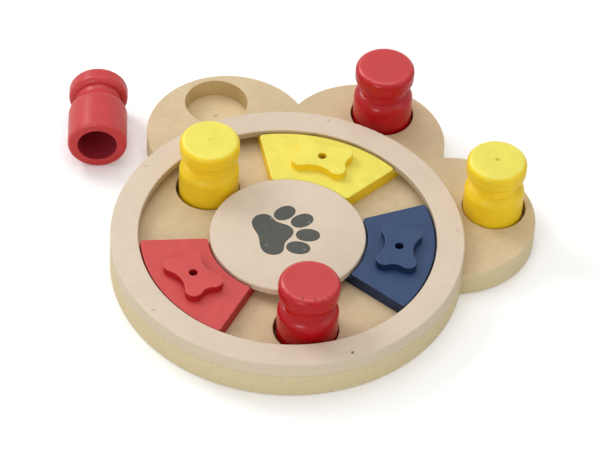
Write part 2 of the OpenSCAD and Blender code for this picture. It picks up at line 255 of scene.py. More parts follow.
class StageSetting(bpy.types.PropertyGroup):
    """Camera, floor and lights."""
    azimuth: angle("Azimuth", 24.3, "Camera's direction round the toy")
    elevation: angle("Elevation", 45.47, "Camera's height above the horizon")
    roll: angle("Roll", 3.19, "Camera's turn about its own axis")
    distance: length("Distance", 2401, "Camera's distance from its target")
    target_x: length("Target X", -5.9, "Where on the floor the camera looks")
    target_y: length("Target Y", 32.8, "Where on the floor the camera looks")
    lens: number("Lens", 209.3, "Focal length in millimetres")
    lift: number("Floor lift", 0.13, "How much paler the floor looks than it is lit")
    far_lift: number("Far floor lift", 0.4, "The same, a metre away from the toy")
    sky: number("Sky", 0.5, "Strength of the light from all round")
    key: number("Key", 6.8, "Watts of the lamp above the toy")
    left: number("Left", 9.4, "Watts of the lamp at the left")
    front: number("Front", 4.8, "Watts of the lamp at the front")
    right: number("Right", 2.0, "Watts of the lamp at the right")


SETTINGS = {
    "peg_shape": PegShape,
    "slider_shape": SliderShape,
    "bone_shape": BoneShape,
    "print_shape": PrintShape,
    "brad_shape": BradShape,
    "toy_colours": Colours,
    "stage_setting": StageSetting,
}


# ---- Outlines and profiles ----

def arc(centre, radius, start, end, steps):
    """Points along an arc between two angles in degrees."""
    turns = [math.radians(start + (end - start) * i / steps) for i in range(steps + 1)]
    return [(centre[0] + radius * math.cos(t), centre[1] + radius * math.sin(t)) for t in turns]


def without_repeats(points, closed=True):
    """Drops points that lie on the point before them."""
    same = 0.02 * MM
    kept = []
    for point in points:
        if not kept or math.dist(point, kept[-1]) > same:
            kept.append(point)
    if closed and math.dist(kept[0], kept[-1]) < same:
        kept.pop()
    return kept


def with_stops(points, longest):
    """Splits long straight runs, with a stop close to each end, so that shading and dents stay local."""
    margin = 0.25 * MM
    kept = [points[0]]
    for start, end in zip(points, points[1:]):
        gap = math.dist(start, end)
        if gap > 4 * margin:
            count = max(1, round((gap - 2 * margin) / longest))
            stops = [margin + (gap - 2 * margin) * i / count for i in range(count + 1)]
            kept += [(start[0] + (end[0] - start[0]) * s / gap, start[1] + (end[1] - start[1]) * s / gap)
                     for s in stops]
        kept.append(end)
    return kept


# ---- Making pieces ----

def set_mode(mode):
    """Enters or leaves edit mode."""
    bpy.ops.object.mode_set(mode=mode)


def deselect_all():
    """Leaves edit mode and deselects every object."""
    if bpy.context.object and bpy.context.object.mode != "OBJECT":
        set_mode("OBJECT")
    bpy.ops.object.select_all(action="DESELECT")


def added(operator, **settings):
    """Adds an object with nothing else selected."""
    deselect_all()
    operator(**settings)
    return bpy.context.object


def face_outwards():
    """In edit mode, selects everything and turns its faces outwards."""
    bpy.ops.mesh.select_all(action="SELECT")
    bpy.ops.mesh.normals_make_consistent(inside=False)


def choose(piece):
    """Makes the piece the only selected one, and the active one."""
    deselect_all()
    piece.select_set(True)
    bpy.context.view_layer.objects.active = piece


def traced(name, points, closed):
    """A new piece in edit mode: a vertex set on the first point and extruded from point to point."""
    piece = added(bpy.ops.mesh.primitive_plane_add, size=MM)
    piece.name = name
    piece.data.name = name
    set_mode("EDIT")
    bpy.ops.mesh.select_mode(type="VERT")
    bpy.ops.mesh.merge(type="CENTER")
    bpy.ops.transform.translate(value=points[0])
    for start, end in zip(points, points[1:]):
        bpy.ops.mesh.extrude_vertices_move(TRANSFORM_OT_translate={"value": Vector(end) - Vector(start)})
    bpy.ops.mesh.select_all(action="SELECT")
    if closed:
        bpy.ops.mesh.edge_face_add()
    return piece


def turned(name, section, steps=120):
    """A closed piece, spun round Z from a half section of (radius, height) points."""
    piece = traced(name, [(radius, 0, height) for radius, height in section], closed=False)
    bpy.ops.mesh.spin(steps=steps, angle=TAU, center=(0, 0, 0), axis=(0, 0, 1))
    bpy.ops.mesh.select_all(action="SELECT")
    bpy.ops.mesh.remove_doubles(threshold=0.002 * MM)
    face_outwards()
    set_mode("OBJECT")
    return piece


def round_over(piece, test, radius, steps):
    """In edit mode, rounds the edges whose ends both pass the test."""
    bpy.ops.mesh.select_mode(type="EDGE")
    bpy.ops.mesh.select_all(action="DESELECT")
    mesh = bmesh.from_edit_mesh(piece.data)
    for edge in mesh.edges:
        if all(test(v.co) for v in edge.verts):
            edge.select_set(True)
    bmesh.update_edit_mesh(piece.data)
    bpy.ops.mesh.bevel(offset=radius, segments=steps, profile=0.5, affect="EDGES", clamp_overlap=False)


def sawn(name, outline, height, edge, bevel_steps=4):
    """A plate sawn to an outline, on the floor, with its top edges rounded over."""
    piece = traced(name, [(x, y, 0) for x, y in outline], closed=True)
    bpy.ops.mesh.extrude_region_move(TRANSFORM_OT_translate={"value": (0, 0, height)})
    face_outwards()
    round_over(piece, lambda at: at.z > height / 2, edge, bevel_steps)
    set_mode("OBJECT")
    return piece


def combine(piece, other, operation):
    """Adds or cuts another solid, and deletes that solid."""
    choose(piece)
    modifier = piece.modifiers.new("Cut", "BOOLEAN")
    modifier.operation = operation
    modifier.solver = "EXACT"
    modifier.object = other
    bpy.ops.object.modifier_apply(modifier=modifier.name)
    bpy.data.objects.remove(other)


def bored(piece, x, radius, height):
    """Bores a round hole down through a piece that stands on the floor, and eases its upper rim."""
    drill = added(bpy.ops.mesh.primitive_cylinder_add, vertices=48, radius=radius, depth=height + 2 * MM,
                  location=(x, 0, height / 2))
    combine(piece, drill, "DIFFERENCE")
    set_mode("EDIT")
    near = 0.05 * MM
    round_over(piece, lambda at: (abs(at.z - height) < near
                                  and abs(math.hypot(at.x - x, at.y) - radius) < near), HOLE_EASE, 3)
    set_mode("OBJECT")


def joined(pieces, name):
    """Makes one piece of several."""
    deselect_all()
    for piece in pieces:
        piece.select_set(True)
    bpy.context.view_layer.objects.active = pieces[0]
    bpy.ops.object.join()
    pieces[0].name = name
    return pieces[0]


def finish_surface(piece, sharp=40):
    """Smooths the shading up to an angle in degrees, with flat faces kept flat."""
    choose(piece)
    bpy.ops.object.shade_smooth_by_angle(angle=math.radians(sharp))
    weighted = piece.modifiers.new("Flat faces", "WEIGHTED_NORMAL")
    weighted.keep_sharp = True
    bpy.ops.object.modifier_apply(modifier=weighted.name)


def write_numbers(piece, name, measure):
    """Stores a number for each vertex, which a finish reads."""
    values = piece.data.attributes.new(name, "FLOAT", "POINT")
    for vertex in piece.data.vertices:
        values.data[vertex.index].value = measure(vertex)


def write_places(piece, turn=0.0):
    """Stores each vertex's place on the piece, so that the finish stays on it wherever it lies.
    A turn about Z gives like pieces different grain."""
    places = piece.data.attributes.new(OWN_PLACE, "FLOAT_VECTOR", "POINT")
    spin = Matrix.Rotation(turn, 3, "Z")
    for vertex in piece.data.vertices:
        places.data[vertex.index].vector = spin @ vertex.co


def mark_slide(piece, hole, radius, height):
    """Stores the worn top edges, whose paler paint is partly a painted highlight, and the dark scent hole,
    whose darkness is painted shade, of a slider or a bone, and its places.
    """
    upright, level, worn_from = 0.15, 0.93, 0.6 * height
    wall, rim = radius * 1.02, height * 0.95
    write_numbers(piece, WEAR, lambda v: float(upright < v.normal.z < level and v.co.z > worn_from))
    write_numbers(piece, PIT, lambda v: HOLE_SHADE * (
        math.hypot(v.co.x - hole, v.co.y) < wall and v.co.z < rim))
    write_places(piece)


def copied(piece, name, place):
    """A copy with its own mesh, put in its place."""
    copy = piece.copy()
    copy.data = piece.data.copy()
    copy.name = name
    copy.data.name = name
    bpy.context.scene.collection.objects.link(copy)
    copy.data.transform(place)
    return copy


def set_finish(piece, material):
    """Gives the piece one finish all over."""
    piece.data.materials.clear()
    piece.data.materials.append(material)


def put_on_slides(context, model, title, node_end, at_knob):
    """Puts a painted copy of the model on each slide, at its knob or about the track's axis."""
    for name in SLIDES:
        node = f"{name}_{node_end}"
        knob = middle_of(f"{name}_bone_knob")
        foot = Vector((knob.x * at_knob, knob.y * at_knob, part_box(node)[0].z))
        turn = Matrix.Rotation(math.atan2(knob.y, knob.x), 4, "Z")
        piece = copied(model, f"{name}_{title}_sawn", Matrix.Translation(foot) @ turn)
        set_finish(piece, slide_paint(context, name))
        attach(piece, f"{name}_slide")
        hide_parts(node)
    bpy.data.objects.remove(model)


# ---- Finishes ----

def linear(colour):
    """A display colour as the four scene-linear numbers that a shader takes."""
    return [c / 12.92 if c < 0.04045 else ((c + 0.055) / 1.055) ** 2.4 for c in colour] + [1]


def scaled(colour, factor):
    """A scene-linear colour made lighter or darker."""
    return [min(1, c * factor) for c in colour[:3]] + [1]


def new_finish(name, roughness, specular, metallic=0.0):
    """A new material, and its node tree."""
    material = bpy.data.materials.new(name)
    material.use_nodes = True
    shader = material.node_tree.nodes["Principled BSDF"]
    shader.inputs["Roughness"].default_value = roughness
    shader.inputs["Specular IOR Level"].default_value = specular
    shader.inputs["Metallic"].default_value = metallic
    return material, material.node_tree


def add(tree, kind, inputs=(), output=0, **settings):
    """Adds a node, sets or links its inputs by name or number, and returns one of its outputs."""
    made = tree.nodes.new(kind)
    for setting, value in settings.items():
        setattr(made, setting, value)
    for key, value in dict(inputs).items():
        if isinstance(value, bpy.types.NodeSocket):
            tree.links.new(value, made.inputs[key])
        else:
            made.inputs[key].default_value = value
    return made.outputs[output]


def place_on(tree, stretch=(1, 1, 1), own=False):
    """Where a point lies, on the toy or on its own piece, stretched along the axes."""
    if own:
        place = stored(tree, OWN_PLACE, "Vector")
    else:
        place = add(tree, "ShaderNodeTexCoord", output="Object")
    if tuple(stretch) == (1, 1, 1):
        return place
    return add(tree, "ShaderNodeMapping", {"Vector": place, "Scale": stretch})


def noise(tree, place, size, detail=2.0, roughness=0.5):
    """Soft random pattern whose features are about as large as size."""
    return add(tree, "ShaderNodeTexNoise",
               {"Vector": place, "Scale": 1 / size, "Detail": detail, "Roughness": roughness})


def between(tree, value, low, high, to_low=0.0, to_high=1.0):
    """Maps the range from low to high onto another, and holds its ends."""
    return add(tree, "ShaderNodeMapRange",
               {"Value": value, "From Min": low, "From Max": high, "To Min": to_low, "To Max": to_high})


def maths(tree, operation, first, second=0.0):
    """One step of arithmetic."""
    return add(tree, "ShaderNodeMath", {0: first, 1: second}, operation=operation)


def blended(tree, amount, first, second, how="MIX"):
    """Two colours mixed by an amount."""
    return add(tree, "ShaderNodeMix", {0: amount, 6: first, 7: second}, output=2,
               data_type="RGBA", blend_type=how)


def mottled(tree, pattern, colour, dark, light):
    """A colour that varies between two factors with a pattern."""
    return blended(tree, between(tree, pattern, 0.3, 0.7), scaled(colour, dark), scaled(colour, light))


def bumped(tree, height, depth, below=None):
    """Turns a height pattern from 0 to 1 into relief of a real depth, on top of another relief."""
    inputs = {"Height": height, "Strength": 1.0, "Distance": depth}
    if below is not None:
        inputs["Normal"] = below
    return add(tree, "ShaderNodeBump", inputs)


def feed(tree, socket, value):
    """Links a value to the shader."""
    tree.links.new(value, tree.nodes["Principled BSDF"].inputs[socket])


def stored(tree, name, output="Fac"):
    """A number or a place that is stored on the piece's vertices."""
    return add(tree, "ShaderNodeAttribute", output=output, attribute_name=name)


def upward(tree, vector):
    """The Z part of a place or a normal."""
    return add(tree, "ShaderNodeSeparateXYZ", {0: vector}, output="Z")


def from_axis(tree, place, x=0.0, y=0.0):
    """How far a place lies from the upright line through a point."""
    flat = add(tree, "ShaderNodeVectorMath", {0: place, 1: (1, 1, 0)}, operation="MULTIPLY")
    return add(tree, "ShaderNodeVectorMath", {0: flat, 1: (x, y, 0)}, output="Value", operation="DISTANCE")


def uprightness(tree, level=0.85, upright=0.4, both_ways=True):
    """0 on level faces and 1 on upright ones, from the Z part of the normal. A face that looks down
    counts as level only when both ways do."""
    up = upward(tree, add(tree, "ShaderNodeTexCoord", output="Normal"))
    if both_ways:
        up = maths(tree, "ABSOLUTE", up)
    return between(tree, up, level, upright)


def in_wells(tree, place):
    """1 inside the wells of the board, 0 elsewhere."""
    mounts = frame["record"]["mounts"]
    toe = Vector(next(m["pos_m"] for m in mounts if m["name"] == "empty_toe_well")[:2])
    wells = [(0, toe.length), toe, (-toe.x, toe.y)]
    turns = [TAU * i / TRACK_WELLS for i in range(TRACK_WELLS)]
    wells += [(TRACK_WELLS_AT * math.sin(t), TRACK_WELLS_AT * math.cos(t)) for t in turns]
    inside = 0.0
    for x, y in wells:
        near = maths(tree, "LESS_THAN", from_axis(tree, place, x, y), WELL_RADIUS + WALL_MARGIN)
        inside = maths(tree, "MAXIMUM", inside, near)
    return inside


def in_track(tree, place):
    """1 on the ring's inner wall, 0 elsewhere."""
    radius = from_axis(tree, place)
    near = maths(tree, "LESS_THAN", radius, RING_INNER + WALL_MARGIN)
    return maths(tree, "MULTIPLY", near, maths(tree, "GREATER_THAN", radius, RING_INNER - WALL_BAND))


def fibreboard(kind, colours, where_routed, mottle, fibres):
    """Sanded fibreboard under a thin matt lacquer: cloudy faces with fine fibres and dark specks, sawn edges
    with fine layers, and walls cut by the router, darker than the sawn edges as painted shade."""
    material, tree = new_finish(f"{kind.capitalize()} fibre", 0.62, specular=0.35)
    face, edge, routed_shade = (linear(getattr(colours, kind + end)) for end in ("", "_edge", "_routed"))
    place = place_on(tree)
    cloud = noise(tree, place, 22 * MM, 3, 0.6)
    patch = noise(tree, place, 5 * MM, 3, 0.6)
    fibre = noise(tree, place, 0.8 * MM, 3, 0.65)
    felt = noise(tree, place_on(tree, (1, 2.2, 1)), 1.6 * MM, 3, 0.6)
    layers = noise(tree, place_on(tree, (1, 1, 9)), 4 * MM, 3, 0.55)
    speck = between(tree, noise(tree, place, 1.5 * MM, 1, 0.4), 0.735, 0.79, 0, 0.35)
    pale = between(tree, noise(tree, place, 1.9 * MM, 2, 0.5), 0.68, 0.76, 0, 0.25)
    upright = uprightness(tree)
    walls = where_routed(tree, place)

    dark, light = scaled(face, 1 - mottle), scaled(face, 1 + mottle / 2)
    on_face = blended(tree, between(tree, cloud, 0.35, 0.65), dark, light)
    on_face = blended(tree, between(tree, patch, 0.3, 0.7, 0, 0.5), on_face, scaled(face, 1 - mottle * 1.2))
    on_face = blended(tree, walls, on_face, scaled(face, 1.2))
    # walls cut by the router take the darker colour: painted shade
    on_edge = blended(tree, walls, mottled(tree, layers, edge, 0.9, 1.05), routed_shade)
    colour = blended(tree, upright, on_face, on_edge)
    for amount, tone in ((between(tree, felt, 0.35, 0.7, 0, fibres), 0.74),
                         (between(tree, fibre, 0.3, 0.75, 0, fibres * 0.7), 0.72),
                         (speck, 0.3),
                         (pale, 1.25)):
        colour = blended(tree, amount, colour, scaled(face, tone))
    feed(tree, "Base Color", colour)
    feed(tree, "Roughness", between(tree, patch, 0.3, 0.7, 0.56, 0.7))
    relief = bumped(tree, fibre, 0.05 * MM)
    feed(tree, "Normal", bumped(tree, maths(tree, "MULTIPLY", layers, upright), 0.12 * MM, relief))
    return material


def paint(name, colour, side, roughness, specular, turned_wood, level=(0.99, 0.72), pale_to=0.0):
    """Paint on wood: faint grain under it, a little unevenness, a paler colour on level faces that is a
    painted sheen from above and a deeper colour on upright faces that is painted shade, thin and paler edges
    that are worn paint and partly a painted highlight, specks of dust, and fine rings where the wood was
    turned. On turned wood the paler colour lies only above pale_to, and level holds the normals from which a
    face is level and upright."""
    material, tree = new_finish(name, roughness, specular)
    colour, side = linear(colour), linear(side)
    pale = [min(1, 1.3 * c + 0.08) for c in colour[:3]] + [1]
    place = place_on(tree, own=True)
    along_grain = (1, 1, 0.06) if turned_wood else (1, 0.08, 1)
    grain = noise(tree, place_on(tree, along_grain, own=True), 1.1 * MM, 3, 0.6)
    cloud = noise(tree, place, 11 * MM, 2, 0.5)
    skin = noise(tree, place, 0.7 * MM, 2, 0.5)
    dust = between(tree, noise(tree, place, 1.3 * MM, 1, 0.4), 0.76, 0.8, 0, 0.3)
    rubbed_and_highlight = between(tree, noise(tree, place, 2.5 * MM, 2), 0.35, 0.65, 0.1, 0.4)

    # painted light: level faces take the paler colour as a painted sheen from above, upright faces the
    # deeper colour as painted shade
    upright = uprightness(tree, *level, both_ways=False) if turned_wood else uprightness(tree)
    if pale_to > 0:
        below = between(tree, upward(tree, place), pale_to, pale_to - MM)
        upright = maths(tree, "MAXIMUM", upright, below)
    shade = blended(tree, between(tree, cloud, 0.3, 0.7), (0.9, 0.9, 0.9, 1), WHITE)
    shade = blended(tree, between(tree, grain, 0.35, 0.7, 0, 0.22), shade, (0.78, 0.78, 0.78, 1))
    # mixes the painted sheen of level faces with the painted shade of upright ones
    tone = blended(tree, 1.0, blended(tree, upright, colour, side), shade, "MULTIPLY")
    # rounded edges paler: worn paint, and partly a painted highlight
    tone = blended(tree, maths(tree, "MULTIPLY", stored(tree, WEAR), rubbed_and_highlight), tone, pale)
    tone = blended(tree, dust, tone, pale)
    # dents and scent holes darker; in the scent holes this is painted shade
    feed(tree, "Base Color", blended(tree, stored(tree, PIT), tone, scaled(side, 0.55)))
    feed(tree, "Roughness", between(tree, skin, 0.3, 0.7, roughness - 0.05, roughness + 0.06))
    relief = bumped(tree, grain, 0.05 * MM, bumped(tree, skin, 0.03 * MM))
    if turned_wood:
        around = add(tree, "ShaderNodeCombineXYZ", {0: from_axis(tree, place), 2: upward(tree, place)})
        relief = bumped(tree, noise(tree, around, 0.9 * MM, 1), 0.04 * MM, relief)
    feed(tree, "Normal", relief)
    return material


def printing_ink(colour):
    """Matt printing ink that has run a little darker at its rim, with the wood's fibres in it."""
    material, tree = new_finish("Printing ink", 0.55, specular=0.4)
    colour = linear(colour)
    place = place_on(tree)
    cloud = noise(tree, place, 5 * MM, 3, 0.6)
    fibre = noise(tree, place, 0.7 * MM, 3, 0.6)
    tone = mottled(tree, cloud, colour, 0.85, 1.15)
    tone = blended(tree, between(tree, fibre, 0.45, 0.8, 0, 0.35), tone, scaled(colour, 1.5))
    tone = blended(tree, maths(tree, "MULTIPLY", stored(tree, WEAR), 0.7), tone, scaled(colour, 0.4))
    feed(tree, "Base Color", tone)
    feed(tree, "Roughness", between(tree, fibre, 0.3, 0.7, 0.48, 0.64))
    feed(tree, "Normal", bumped(tree, fibre, 0.04 * MM))
    return material


def dull_steel(name, colour):
    """Brad heads that were dulled by sanding and lacquer."""
    material, tree = new_finish(name, 0.5, specular=0.5, metallic=0.1)
    colour = linear(colour)
    scratch = noise(tree, place_on(tree, (1, 12, 1), own=True), 0.5 * MM, 2)
    tone = mottled(tree, noise(tree, place_on(tree, own=True), 0.6 * MM, 2), colour, 0.8, 1.1)
    tone = blended(tree, maths(tree, "MULTIPLY", stored(tree, PIT), 0.25), tone, scaled(colour, 0.35))
    feed(tree, "Base Color", tone)
    feed(tree, "Roughness", between(tree, scratch, 0.3, 0.7, 0.4, 0.6))
    feed(tree, "Normal", bumped(tree, scratch, 0.02 * MM))
    return material


def slide_paint(context, name):
    """The paint of a slider and its bone, made once."""
    title = f"{name.capitalize()} slide paint"
    found = bpy.data.materials.get(title)
    if found:
        return found
    # the level colour carries a painted sheen from above, the upright colour painted shade
    level, side = (getattr(context.scene.toy_colours, name + end) for end in ("", "_side"))
    return paint(title, level, side, SLIDES[name], 0.3, turned_wood=False)


# ---- Operators ----

class TOY_OT_finish_boards(bpy.types.Operator):
    """Finish the base board, the ring and the disc as sanded fibreboard"""
    bl_idname = "toy.finish_boards"
    bl_label = "Finish boards"

    def execute(self, context):
        colours = context.scene.toy_colours
        board = fibreboard("board", colours, in_wells, mottle=0.09, fibres=0.3)
        rim = fibreboard("rim", colours, in_track, mottle=0.045, fibres=0.2)
        for node, material in (("base_board", board), ("track_ring", rim), ("centre_disc", rim)):
            set_finish(frame["nodes"][node], material)
        return {"FINISHED"}


class TOY_OT_set_brads(bpy.types.Operator):
    """Model the brads that hold the ring and the disc, each with a driver's mark in its head"""
    bl_idname = "toy.set_brads"
    bl_label = "Set brads"

    def execute(self, context):
        shape = context.scene.brad_shape
        colours = context.scene.toy_colours
        self.drive(shape, "ring_pins", 0.0, dull_steel("Lacquered steel", colours.steel))
        self.drive(shape, "disc_pins", shape.proud, dull_steel("Inked steel", colours.inked))
        return {"FINISHED"}

    def drive(self, shape, node, proud, material):
        """Puts a brad in each place where the CAD node has one."""
        low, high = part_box(node)
        tall = high.z + proud - low.z
        brads = []
        for x, y in brad_places(frame["nodes"][node]):
            brad = turned(f"{node}_{len(brads)}", self.section(shape, tall), 24)
            write_numbers(brad, PIT, lambda v: float(
                math.hypot(v.co.x, v.co.y) < shape.head * 0.45 and v.co.z > tall - 2 * shape.dimple))
            write_places(brad)
            brad.data.transform(Matrix.Translation((x, y, low.z)))
            brads.append(brad)
        piece = joined(brads, node.replace("pins", "brads"))
        finish_surface(piece)
        set_finish(piece, material)
        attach(piece, "board")
        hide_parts(node)

    def section(self, shape, tall):
        """Half section of a brad: point, shank, and a head with a dimple."""
        shank, point, ease = 0.7 * MM, 1.6 * MM, 0.12 * MM
        under = tall - 0.8 * MM
        dimple = [(shape.head * 0.5, tall - 0.02 * MM), (shape.head * 0.3, tall - shape.dimple * 0.8),
                  (0, tall - shape.dimple)]
        return ([(0, 0), (shank * 0.4, 0.1 * MM), (shank, point), (shank, under), (shape.head, under)]
                + [(shape.head, tall - ease), (shape.head - ease, tall)] + dimple)


def brad_places(node):
    """Where each brad of a CAD node stands: the middle of each group of points that lie together."""
    widest = 3 * MM
    groups = []
    for vertex in node.data.vertices:
        at = vertex.co.xy
        group = next((g for g in groups if (g[0] - at).length < widest), None)
        if group:
            group.append(at)
        else:
            groups.append([at])
    return sorted(tuple((min(values) + max(values)) / 2 for values in zip(*group)) for group in groups)


class TOY_OT_turn_pegs(bpy.types.Operator):
    """Turn the five pegs, with the lathe's marks on the yellow ones and small dents on a red one"""
    bl_idname = "toy.turn_pegs"
    bl_label = "Turn pegs"

    def execute(self, context):
        shape = context.scene.peg_shape
        colours = context.scene.toy_colours
        neck = PEG_HEIGHT - shape.head
        yellow = (colours.yellow, colours.yellow_side)
        red = (colours.peg_red, colours.peg_red_side)
        paints = {
            # the paler level colour is a painted sheen on the heads' tops, the deeper upright colour painted
            # shade
            "yellow": paint("Yellow peg paint", *yellow, 0.36, 0.3, True, pale_to=neck),
            "red": paint("Red peg paint", *red, 0.22, 0.32, True, level=(0.97, 0.7), pale_to=neck),
            # the lying peg's faces that look up take the paler colour: a painted sheen from above
            "lying red": paint("Lying red peg paint", *red, 0.3, 0.32, True, level=(0.2, -0.8)),
        }
        in_yellow, in_red = colours.yellow_hollow, colours.red_hollow
        hollows = {
            "yellow": paint("Yellow hollow paint", in_yellow, in_yellow, 0.5, 0.2, True),
            "red": paint("Red hollow paint", in_red, in_red, 0.45, 0.2, True),
        }
        for node, (body, paint_name, grain_turn) in PEGS.items():
            peg = turned(f"{node}_turned", with_stops(self.section(shape), PEG_STOPS))
            balls = [self.ball(shape, *dent) for dent in DENTS.get(node, [])]
            for centre, radius, _ in balls:
                self.dent(peg, centre, radius)
            finish_surface(peg)
            write_numbers(peg, WEAR, lambda v: self.wear(shape, v.co))
            write_numbers(peg, PIT, lambda v: max([0.0] + [shade for centre, radius, shade in balls
                                                           if (v.co - centre).length < radius * 1.001]))
            write_places(peg, grain_turn)
            set_finish(peg, paints["lying red" if node == LYING_PEG else paint_name])
            self.paint_hollow(shape, peg, hollows[paint_name])
            peg.data.transform(self.place(shape, node))
            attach(peg, body)
            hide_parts(node)
        return {"FINISHED"}

    def section(self, shape):
        """Half section of a peg, from the roof of its hollow round the foot to the head's middle."""
        radius, tall = PEG_RADIUS, PEG_HEIGHT
        inside = radius - shape.wall
        side = shape.neck_cut - shape.neck_curve
        mouth = radius - side
        shoulder = (shape.shoulder ** 2 + side ** 2) / (2 * side)
        neck_half = (tall - shape.head - shape.body) / 2
        cove = (neck_half ** 2 + shape.neck_curve ** 2) / (2 * shape.neck_curve)
        cove_turn = math.degrees(math.asin(neck_half / cove))
        shoulder_turn = math.degrees(math.asin(shape.shoulder / shoulder))
        ease, foot, top = shape.hollow_ease, shape.foot_round, shape.head_round
        points = [(0, shape.hollow)]
        points += arc((inside - ease, shape.hollow - ease), ease, 90, 0, 4)
        points += arc((inside + ease, ease), ease, 180, 270, 5)
        points += arc((radius - foot, foot), foot, 270, 360, 6)
        points += arc((radius - shoulder, shape.body - shape.shoulder), shoulder, 0, shoulder_turn, 10)
        points += arc((mouth - shape.neck_curve + cove, shape.body + neck_half), cove,
                      180 + cove_turn, 180 - cove_turn, 8)
        points += arc((mouth, tall - shape.head + side), side, 270, 360, 8)
        points += arc((radius - top, tall - top), top, 0, 85, 9)
        points += [((radius - top) * (1 - i / 8), tall) for i in range(1, 9)]
        return without_repeats(points, closed=False)

    def wear(self, shape, at):
        """1 on the rounded edges of the head and the foot, whose paler paint is worn and partly a painted
        highlight.
        """
        radius = math.hypot(at.x, at.y)
        rim = PEG_RADIUS - shape.head_round
        edges = [(rim + shape.head_round * 0.4, PEG_HEIGHT - shape.head_round * 0.1),
                 (PEG_RADIUS - shape.foot_round * 0.3, shape.foot_round * 0.3)]
        near = min(math.dist((radius, at.z), edge) for edge in edges)
        return max(0.0, 1 - near / WORN_BAND)

    def paint_hollow(self, shape, peg, material):
        """Gives the hollow its own paint, in a colour of its own."""
        peg.data.materials.append(material)
        inside = PEG_RADIUS - shape.wall + shape.hollow_ease / 2
        for face in peg.data.polygons:
            if face.center.xy.length < inside and face.center.z < shape.hollow + MM:
                face.material_index = 1

    def ball(self, shape, x, y, radius, depth, shade):
        """Centre, radius and shade of the ball that presses a dent of a given size into the head."""
        rim = PEG_RADIUS - shape.head_round
        out = math.hypot(x, y) * MM - rim
        lean = math.asin(max(0.0, out) / shape.head_round)
        ball = (radius ** 2 + depth ** 2) / (2 * depth) * MM
        beyond = shape.head_round + ball - depth * MM
        outwards = Vector((x, y)).normalized()
        start = Vector((x, y)) * MM if out < 0 else outwards * rim
        at = start + outwards * beyond * math.sin(lean)
        height = PEG_HEIGHT - shape.head_round + beyond * math.cos(lean)
        return Vector((at.x, at.y, height)), ball, shade

    def dent(self, peg, centre, radius):
        """Presses a shallow dent into the peg with a ball."""
        ball = added(bpy.ops.mesh.primitive_ico_sphere_add, subdivisions=4, radius=radius, location=centre)
        combine(peg, ball, "DIFFERENCE")

    def place(self, shape, node):
        """Stands the peg in its well, or lays the loose one on its side."""
        middle = middle_of(node)
        if node != LYING_PEG:
            return Matrix.Translation((middle.x, middle.y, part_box(node)[0].z))
        lean = Matrix.Rotation(shape.loose_turn, 4, "Z") @ Matrix.Rotation(math.pi / 2, 4, "Y")
        return Matrix.Translation(middle) @ lean @ Matrix.Translation((0, 0, -PEG_HEIGHT / 2))


class TOY_OT_saw_sliders(bpy.types.Operator):
    """Saw and rout the three sliders, each a raised middle on a wider flange with a scent hole"""
    bl_idname = "toy.saw_sliders"
    bl_label = "Saw sliders"

    def execute(self, context):
        shape = context.scene.slider_shape
        hole = middle_of("red_bone_knob").xy.length
        model = sawn("slider", self.sector(shape, shape.inner, shape.outer), SLIDER_HEIGHT, shape.edge)
        wider = self.sector(shape, shape.flange_inner, shape.flange_outer)
        combine(model, sawn("flange", wider, shape.flange, FLANGE_EASE, 2), "UNION")
        bored(model, hole, shape.scent, SLIDER_HEIGHT)
        finish_surface(model)
        mark_slide(model, hole, shape.scent, SLIDER_HEIGHT)
        put_on_slides(context, model, "slider", "slider", at_knob=False)
        return {"FINISHED"}

    def sector(self, shape, inner, outer):
        """Outline of a sector about +X, with rounded corners."""
        half = math.degrees(shape.span) / 2
        corners, ends = [], []
        for edge, inset in ((outer, shape.corner), (inner, -shape.corner)):
            radius = edge - inset
            at = half - math.degrees(math.asin(shape.corner / radius))
            centre = (radius * math.cos(math.radians(at)), radius * math.sin(math.radians(at)))
            turns = (at, half + 90) if inset > 0 else (half + 90, at + 180)
            corners += arc(centre, shape.corner, *turns, 6)
            ends.append(at)
        outline = corners + arc((0, 0), inner, ends[1], -ends[1], 32)
        outline += [(x, -y) for x, y in reversed(corners)]
        return without_repeats(outline + arc((0, 0), outer, -ends[0], ends[0], 44))


class TOY_OT_saw_bones(bpy.types.Operator):
    """Saw the three bone knobs, round their top edges and bore their scent holes"""
    bl_idname = "toy.saw_bones"
    bl_label = "Saw bones"

    def execute(self, context):
        shape = context.scene.bone_shape
        scent = context.scene.slider_shape.scent
        model = sawn("bone", self.outline(shape), BONE_HEIGHT, shape.edge)
        bored(model, 0, scent, BONE_HEIGHT)
        finish_surface(model)
        mark_slide(model, 0, scent, BONE_HEIGHT)
        put_on_slides(context, model, "bone", "bone_knob", at_knob=True)
        return {"FINISHED"}

    def outline(self, shape):
        """Outline of a bone along Y: four lobes with a hollow between each two."""
        lobe, along, aside = shape.lobe, shape.long / 2 - shape.lobe, shape.wide / 2 - shape.lobe
        side = self.hollow(along, shape.waist / 2 - aside, lobe)
        end = self.hollow(aside, shape.core / 2 - along, lobe)
        side_centre = shape.waist / 2 + side
        end_centre = shape.core / 2 + end
        # The lobe ends where the line to a hollow's centre leaves it
        to_side = math.degrees(math.atan2(-along, side_centre - aside))
        to_end = math.degrees(math.atan2(end_centre - along, -aside))
        quarter = arc((side_centre, 0), side, 180, to_side + 180, 10)
        quarter += arc((aside, along), lobe, to_side, to_end, 18)
        quarter += arc((0, end_centre), end, to_end - 180, -90, 7)
        outline = []
        for across, up in ((1, 1), (-1, 1), (-1, -1), (1, -1)):
            part = [(across * x, up * y) for x, y in quarter]
            outline += part if across * up > 0 else part[::-1]
        return without_repeats(outline)

    def hollow(self, half_gap, deep, lobe):
        """Radius of the hollow between two lobes, which touches both."""
        return (half_gap ** 2 + deep ** 2 - lobe ** 2) / (2 * (lobe - deep))


